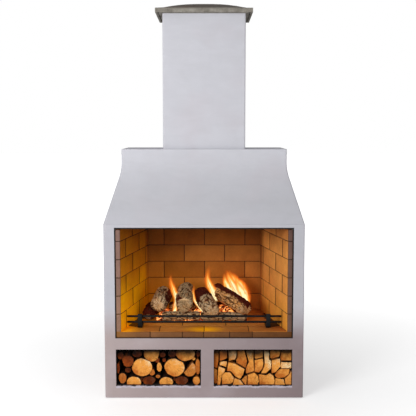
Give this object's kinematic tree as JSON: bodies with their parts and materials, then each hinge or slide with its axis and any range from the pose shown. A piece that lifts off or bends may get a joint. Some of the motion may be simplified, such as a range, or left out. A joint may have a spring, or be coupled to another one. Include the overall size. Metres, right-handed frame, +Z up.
{
  "type": "outdoor fireplace",
  "caption": "Free-standing rendered outdoor fireplace with a splayed firebrick firebox, tapered hood, square chimney with domed cap, loose log guard and a log store below.",
  "frame": {"origin": "on the ground, under the middle of the body", "axes": "+Z up the chimney, -Y out of the firebox towards the person in front, +X to that person's right"},
  "size_m": [1.118, 0.65, 2.2223],
  "materials": {
    "pumice_block": "porous cast pumice concrete, grey and unfinished",
    "render_coat": "smooth pale lilac-grey cement render, matt",
    "firebrick": "tan firebrick, matt, with darker raked mortar joints",
    "clay_liner": "unglazed terracotta flue liner",
    "cast_cap": "weathered grey-brown cast concrete",
    "black_steel": "black heat-proof paint on steel",
    "charred_wood": "ash-grey bark and charred wood",
    "round_firewood": "orange-tan cut ends and brown bark",
    "split_firewood": "pale tan split faces and cut ends"
  },
  "bodies": {
    "fireplace": {"back_lining_course_1": "firebrick", "back_lining_course_2": "firebrick", "back_lining_course_3": "firebrick", "back_lining_course_4": "firebrick", "back_lining_course_5": "firebrick", "back_lining_course_6": "firebrick", "base_slab": "pumice_block", "body_coat": "render_coat", "chimney_block_1": "pumice_block", "chimney_block_2": "pumice_block", "chimney_block_3": "pumice_block", "chimney_cap": "cast_cap", "chimney_coat": "render_coat", "firebox_back_wall": "pumice_block", "firebox_left_wall": "pumice_block", "firebox_right_wall": "pumice_block", "flue_liner_1": "clay_liner", "flue_liner_2": "clay_liner", "flue_liner_3": "clay_liner", "hearth_brick_row_1": "firebrick", "hearth_brick_row_2": "firebrick", "hearth_brick_row_3": "firebrick", "hearth_brick_row_4": "firebrick", "hearth_slab": "pumice_block", "hood_coat": "render_coat", "hood_lower": "pumice_block", "hood_upper": "pumice_block", "left_lining_course_1": "firebrick", "left_lining_course_2": "firebrick", "left_lining_course_3": "firebrick", "left_lining_course_4": "firebrick", "left_lining_course_5": "firebrick", "left_lining_course_6": "firebrick", "lintel_beam": "pumice_block", "right_lining_course_1": "firebrick", "right_lining_course_2": "firebrick", "right_lining_course_3": "firebrick", "right_lining_course_4": "firebrick", "right_lining_course_5": "firebrick", "right_lining_course_6": "firebrick", "store_back_wall": "pumice_block", "store_divider": "pumice_block", "store_left_wall": "pumice_block", "store_right_wall": "pumice_block"},
    "log_guard": {"guard_left_upright": "black_steel", "guard_lower_rail": "black_steel", "guard_right_upright": "black_steel", "guard_top_rail": "black_steel"},
    "fire_logs": {"fire_log_back": "charred_wood", "fire_log_charred": "charred_wood", "fire_log_far_left": "charred_wood", "fire_log_front_left": "charred_wood", "fire_log_front_right": "charred_wood", "fire_log_left": "charred_wood", "fire_log_middle": "charred_wood", "fire_log_right": "charred_wood"},
    "left_logs": {"round_log_stack": "round_firewood"},
    "right_logs": {"split_log_stack": "split_firewood"}
  },
  "joints": [
    {"name": "guard_lift", "type": "slide", "parent": "fireplace", "child": "log_guard", "axis": [0, 0, 1], "range_m": [0, 0.3]},
    {"name": "fire_logs_lift", "type": "slide", "parent": "fireplace", "child": "fire_logs", "axis": [0, 0, 1], "range_m": [0, 0.25]},
    {"name": "left_logs_pull", "type": "slide", "parent": "fireplace", "child": "left_logs", "axis": [0, -1, 0], "range_m": [0, 0.34]},
    {"name": "right_logs_pull", "type": "slide", "parent": "fireplace", "child": "right_logs", "axis": [0, -1, 0], "range_m": [0, 0.34]}
  ]
}
